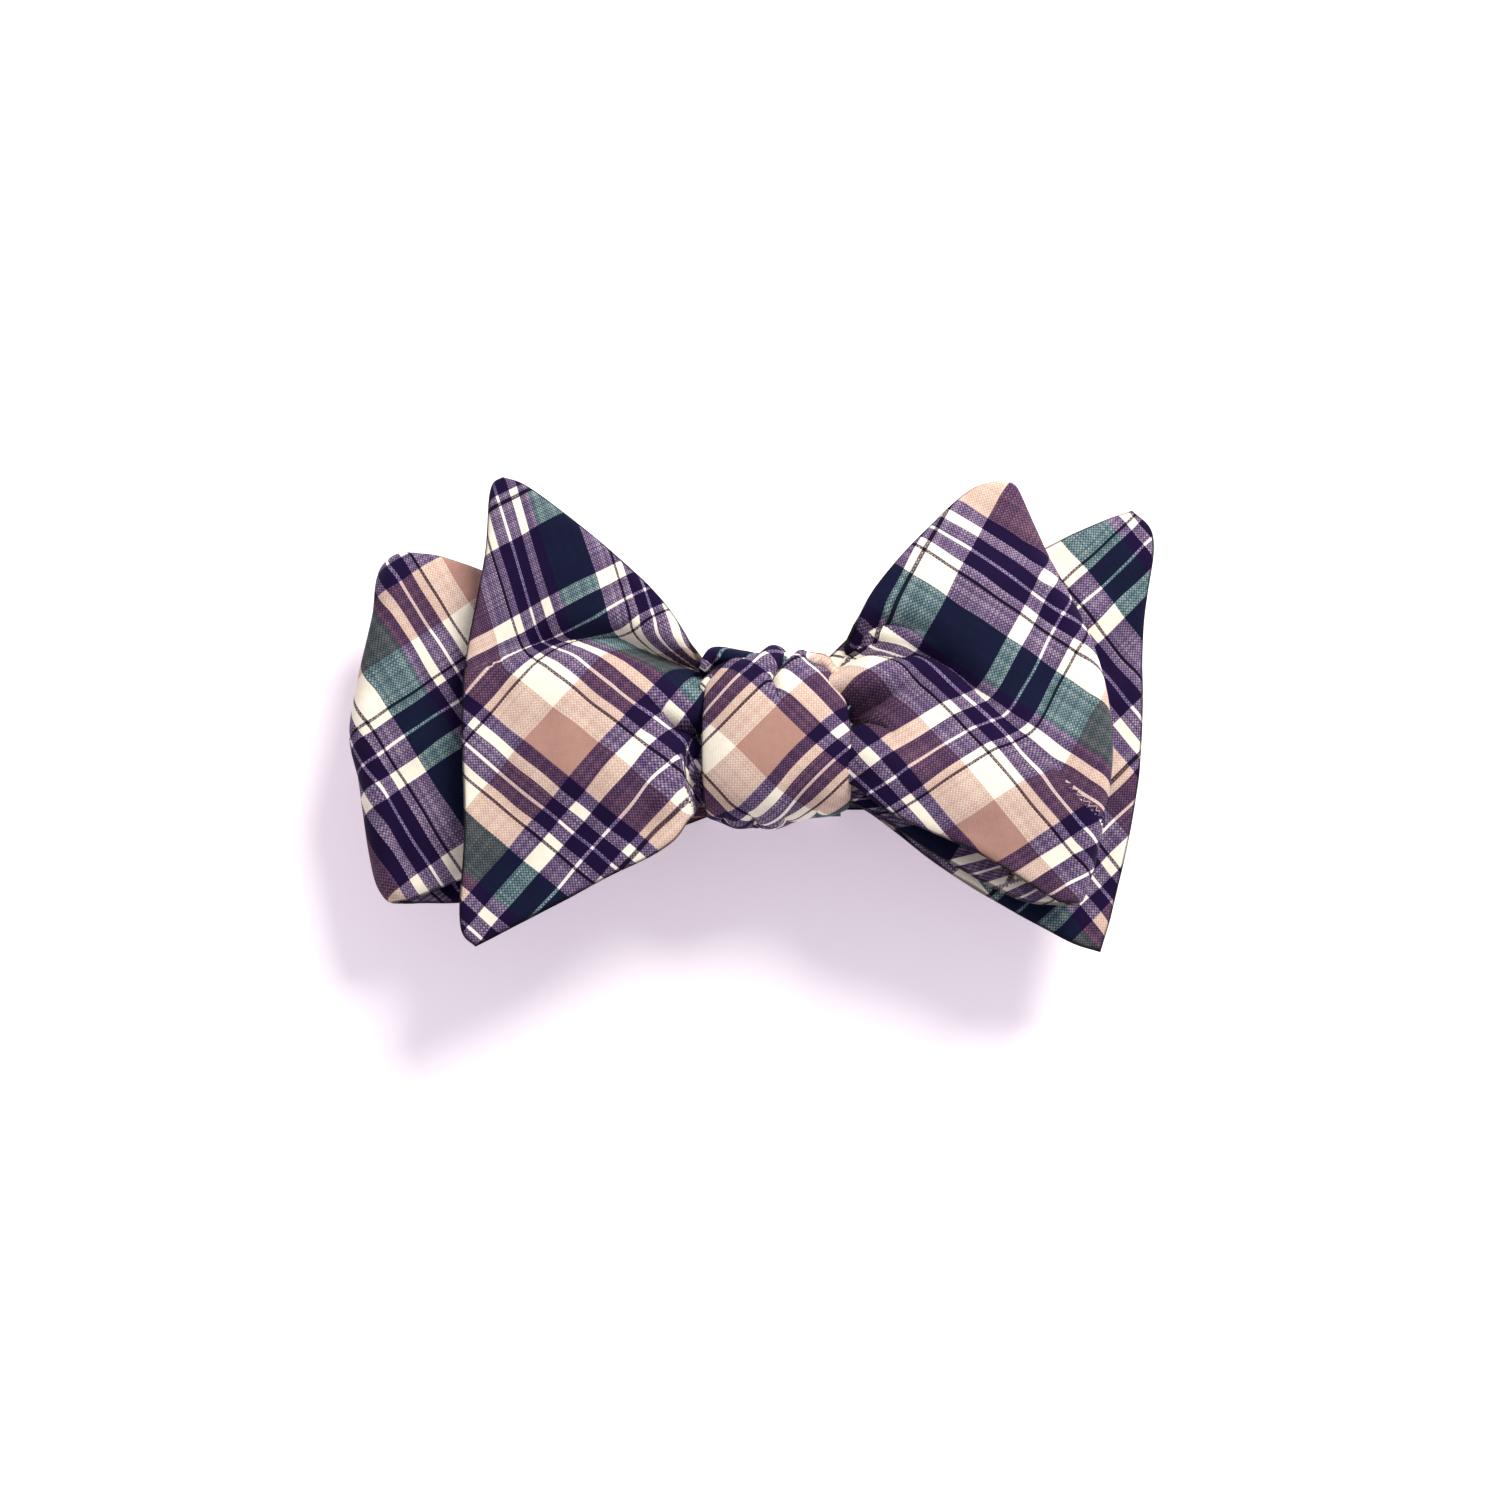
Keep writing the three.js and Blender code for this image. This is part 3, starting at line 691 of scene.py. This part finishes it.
def make_gathers(name, level, depth, top, bottom, place, material):
    """The waist of the bow: cloth gathered into pleats where the knot grips it."""
    u = np.linspace(-1, 1, 60)
    v = np.linspace(0, 1, 110)
    x = spread(GATHERS_HALF_WIDTH * u[:, None], (len(u), len(v)))
    high = profile(top, x)
    low = profile(bottom, x)
    y = low + (high - low) * v[None, :]
    swell = 1 - 0.45 * np.exp(-((x / 6) ** 2))
    pleat = np.sin(2 * math.pi * (v * 5.5)[None, :] + 0.9 * u[:, None] + 0.5)
    z = level + depth * swell * pleat * (1 - 0.5 * ramp(np.abs(2 * v - 1), 0.8, 1.0)[None, :])
    middle = np.dstack([x, y + 0.35 * np.cos(6.0 * u)[:, None] * (2 * v - 1)[None, :], z])
    step = np.linalg.norm(np.diff(middle, axis=1), axis=-1)
    along = np.concatenate([np.zeros((len(u), 1)), np.cumsum(step, axis=1)], axis=1)
    t = along - along[:, -1:] + high
    uv = np.dstack([x + t, x - t]) / math.sqrt(2)
    uv = (uv + np.array(place)) * MM
    from_edge = spread(np.minimum(v, 1 - v)[None, :] * GATHERS_HEIGHT, x.shape)
    half = rounded(from_edge, 1.2, 0.6, 0.3)
    piece = sheet_mesh(name, middle, half, uv, from_edge + 1.0)
    piece.data.materials.append(material)
    return piece


# ---------------------------------------------------------------- the neckband

def folded_path(levels, inner, outer, tail):
    """The neckband's run to and fro, as x and z, from the knot down to its metal end and back."""
    points = [(0.02, levels[0])]
    for i in range(1, len(levels)):
        outside = i % 2 == 1
        x = outer if outside else inner
        sign = 1 if outside else -1
        middle, radius = (levels[i - 1] + levels[i]) / 2, (levels[i - 1] - levels[i]) / 2
        for angle in np.linspace(math.pi / 2, -math.pi / 2, 13):
            points.append((x + sign * radius * math.cos(angle), middle + radius * math.sin(angle)))
    low, high = levels[-1], tail[1]
    for angle in np.linspace(-math.pi / 2, math.pi / 2, 13):
        points.append((tail[0] - (high - low) / 2 * math.cos(angle),
                       (low + high) / 2 + (high - low) / 2 * math.sin(angle)))
    points.append((tail[2], high))
    return np.array(points)


def make_neckband(name, side, levels, tail, material):
    low, high = node_box(name)
    thickness = 0.74
    path = folded_path(levels, 16.0, 43.9, tail)
    lengths = np.concatenate([[0], np.cumsum(np.linalg.norm(np.diff(path, axis=0), axis=1))])
    fine = np.linspace(0, lengths[-1], 420)
    x = np.interp(fine, lengths, path[:, 0]) * side
    z = np.interp(fine, lengths, path[:, 1])
    width = (high - low)[1]
    y0 = (high + low)[1] / 2 - ORIGIN[1]
    v = spaced(26, 0.5)
    y = (v - 0.5)[None, :] * width + y0 + 0.0 * fine[:, None]
    middle = np.dstack([x[:, None] + 0.0 * y, y, z[:, None] + 0.0 * y])
    half = rounded(np.minimum(v, 1 - v)[None, :] * width + 0.0 * y, 0.8, thickness / 2, 0.16)
    s = fine[:, None] + 0.0 * y
    uv = np.dstack([(s + y), (s - y)]) / math.sqrt(2) * MM
    from_edge = np.minimum(v, 1 - v)[None, :] * width + 0.0 * y
    piece = sheet_mesh(name + "_cloth", middle, half, uv, from_edge)
    piece.data.materials.append(material)
    return piece, lengths[-1]


# ---------------------------------------------------------------- the stage

def make_stage():
    mesh = bpy.data.meshes.new("floor")
    far = 3.0
    mesh.from_pydata([(-far, -far, 0), (far, -far, 0), (far, far, 0), (-far, far, 0)], [], [(0, 1, 2, 3)])
    floor = bpy.data.objects.new("floor", mesh)
    bpy.context.scene.collection.objects.link(floor)
    material, _, shader = new_material("pale_floor")
    shader.inputs["Base Color"].default_value = (0.93, 0.93, 0.94, 1)
    shader.inputs["Roughness"].default_value = 0.9
    shader.inputs["Specular IOR Level"].default_value = 0.1
    shader.inputs["Emission Color"].default_value = (1.0, 0.80, 0.98, 1)
    shader.inputs["Emission Strength"].default_value = 0.36
    mesh.materials.append(material)


def area_light(name, place, target, size, power, color):
    light = bpy.data.lights.new(name, "AREA")
    light.shape = "DISK"
    light.size = size
    light.energy = power
    light.color = color
    holder = bpy.data.objects.new(name, light)
    holder.location = place
    holder.rotation_euler = (Vector(target) - Vector(place)).to_track_quat("-Z", "Y").to_euler()
    bpy.context.scene.collection.objects.link(holder)


def make_lights():
    world = bpy.data.worlds.new("soft_world")
    world.use_nodes = True
    world.node_tree.nodes["Background"].inputs[0].default_value = (0.96, 0.92, 1.0, 1)
    world.node_tree.nodes["Background"].inputs[1].default_value = 0.54
    bpy.context.scene.world = world
    area_light("key", (0.33, 0.48, 0.60), (0, 0, 0), 0.36, 9.0, (1.0, 0.97, 0.92))
    bpy.context.scene.view_settings.view_transform = "Standard"


def make_camera():
    elevation = math.radians(80)
    distance = 0.42
    target = Vector(((ORIGIN[0] - 3.93) * MM, (ORIGIN[1] - 1.84) * MM, 27 * MM))
    camera = bpy.data.objects.new("camera", bpy.data.cameras.new("camera"))
    camera.data.sensor_width = 36
    camera.data.lens = 36 * 420 / 226.5
    camera.location = target + distance * Vector((0, -math.cos(elevation), math.sin(elevation)))
    camera.rotation_euler = (target - camera.location).to_track_quat("-Z", "Y").to_euler()
    bpy.context.scene.collection.objects.link(camera)
    bpy.context.scene.camera = camera


def make_label(material):
    """A blank woven label: thin tape that bows a little between its sewn ends."""
    low, high = node_box("blank_label")
    x = np.linspace(low[0], high[0], 24)[:, None] - ORIGIN[0]
    y = spaced(48, 0.4)[None, :] * (high[1] - low[1]) + low[1] - ORIGIN[1]
    x, y = np.broadcast_arrays(x, y)
    across = (x - x[:1]) / (high[0] - low[0])
    along = (y - y[:, :1]) / (high[1] - low[1])
    slack = np.sin(math.pi * along) * np.sin(2 * math.pi * across)
    middle = np.dstack([x, y, (low[2] + high[2]) / 2 - 0.08 * slack])
    from_edge = np.minimum(np.minimum(across, 1 - across) * 5, np.minimum(along, 1 - along) * 12)
    half = rounded(from_edge, 0.4, 0.12, 0.07)
    piece = sheet_mesh("blank_label_tape", middle, half, middle[..., :2] * MM, from_edge)
    piece.data.materials.append(material)
    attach(piece, "knot")
    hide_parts("blank_label")
    return piece


def dress_metal():
    nickel = metal_material()
    for name in ("adjuster_slider", "clasp_hook", "clasp_eye"):
        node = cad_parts[name]
        node.data.materials.clear()
        node.data.materials.append(nickel)


def bend_wing(piece):
    """Bakes a wing's placement into its mesh."""
    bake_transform(piece)


def add_wings(plaid):
    left_front = make_left_front(plaid)
    bend_wing(left_front)
    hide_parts("left_front_face", "left_front_interlining", "left_front_backing")

    right_front = make_right_front(plaid)
    bend_wing(right_front)
    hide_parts("right_front_loop_face", "right_front_loop_interlining",
                "right_front_loop_lining")

    left_back = make_left_back(plaid)
    bend_wing(left_back)
    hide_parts("left_back_loop_face", "left_back_loop_interlining", "left_back_loop_lining")

    right_back = make_right_back(plaid)
    bend_wing(right_back)
    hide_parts("right_back_face", "right_back_interlining", "right_back_backing")


def add_knot(plaid):
    knot = make_knot(plaid)
    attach(knot, "knot")
    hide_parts("knot_wrap", "knot_wrap_interlining")

    front_top = [(-12, 10.6), (-11, 12.0), (-9.8, 13.8), (-8, 14.3), (-5, 14.0), (-1, 12.8), (2, 13.4),
                 (5, 14.0), (7.2, 13.9), (8.8, 11.8), (9.8, 10.0), (12, 7.8)]
    front_bottom = [(-12, -8.5), (-9, -10.0), (0, -10.4), (9, -9.4), (12, -8)]
    front_gathers = make_gathers("front_gathers_cloth", 25.0, 2.6, front_top, front_bottom, (-2.2, 10.1),
                                 plaid)
    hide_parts("front_waist_pleats")
    back_top = [(-12, 7.6), (-8, 10.6), (0, 11.4), (8, 10.8), (12, 8.0)]
    back_bottom = [(-12, -7.4), (-9, -8.6), (0, -9.0), (8, -8.2), (12, -7.0)]
    back_gathers = make_gathers("back_gathers_cloth", 16.0, 2.4, back_top, back_bottom, (24.0, 30.0), plaid)
    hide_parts("back_waist_pleats")
    for gathers in (front_gathers, back_gathers):
        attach(gathers, "knot")


def add_neckband(plaid):
    left_levels = [8.0 - i * 1.52 for i in range(6)]
    left_band, left_length = make_neckband("neckband_left", -1, left_levels, (10.0, 2.8, 13.2), plaid)
    right_band, right_length = make_neckband("neckband_right", 1, [8.0, 7.05, 6.1, 1.3],
                                             (10.0, 3.7, 40.0), plaid)
    label = make_label(tape_material())
    for band, node, length, pieces in ((left_band, "neckband_left", left_length, []),
                                       (right_band, "neckband_right", right_length, [label])):
        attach(band, "knot")
        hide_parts(node)
        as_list(pieces)


def main():
    make_camera()
    make_lights()
    make_stage()
    plaid = plaid_material("plaid_cotton")
    add_wings(plaid)
    add_knot(plaid)
    add_neckband(plaid)

    dress_metal()


main()
